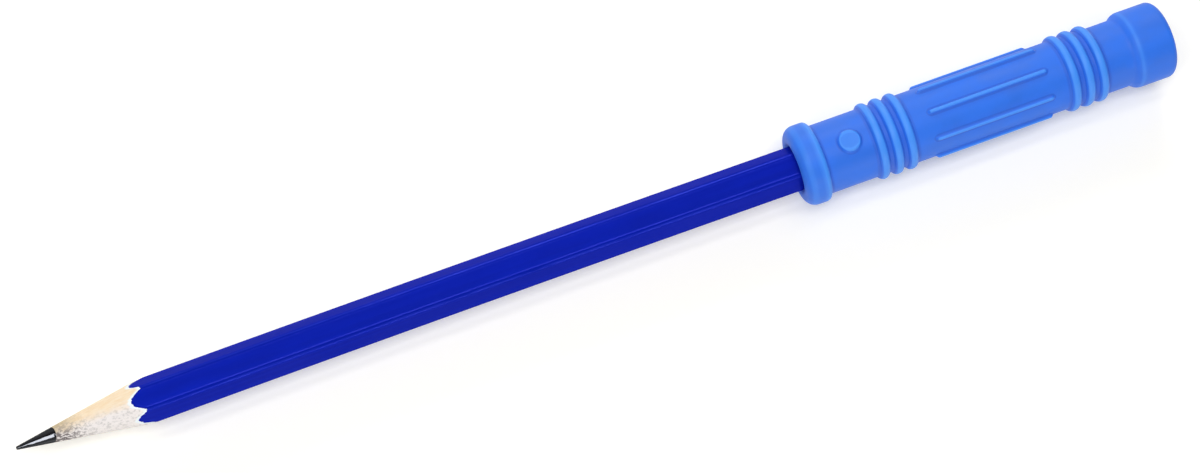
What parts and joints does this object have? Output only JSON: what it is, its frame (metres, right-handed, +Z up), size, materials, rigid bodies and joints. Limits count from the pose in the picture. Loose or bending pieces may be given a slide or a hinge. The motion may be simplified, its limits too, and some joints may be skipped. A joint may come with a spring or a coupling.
{
  "type": "chewable pencil topper",
  "caption": "Soft blue chewable sleeve with a collar, grip beads, ribs and a closed end cap, pushed over the blunt end of a sharpened hexagonal lacquered pencil.",
  "frame": {"origin": "on the surface that the object lies on, under the middle of its whole length", "axes": "+X along the pencil's axis from the point to the topper's end cap, +Z up from the surface, +Y across the pencil"},
  "size_m": [0.197, 0.0136, 0.0136],
  "materials": {
    "elastomer": "matte",
    "lacquer": "gloss",
    "cedar": "matte",
    "graphite": "satin"
  },
  "bodies": {
    "pencil": {"lead_core": "graphite", "wood_slat_upper": "cedar", "wood_slat_lower": "cedar", "lacquer_coat": "lacquer"},
    "topper": {"chew_topper": "elastomer"}
  },
  "joints": [
    {"name": "topper_pull", "type": "slide", "parent": "pencil", "child": "topper", "axis": [1, 0, 0], "range_m": [0, 0.05]}
  ]
}
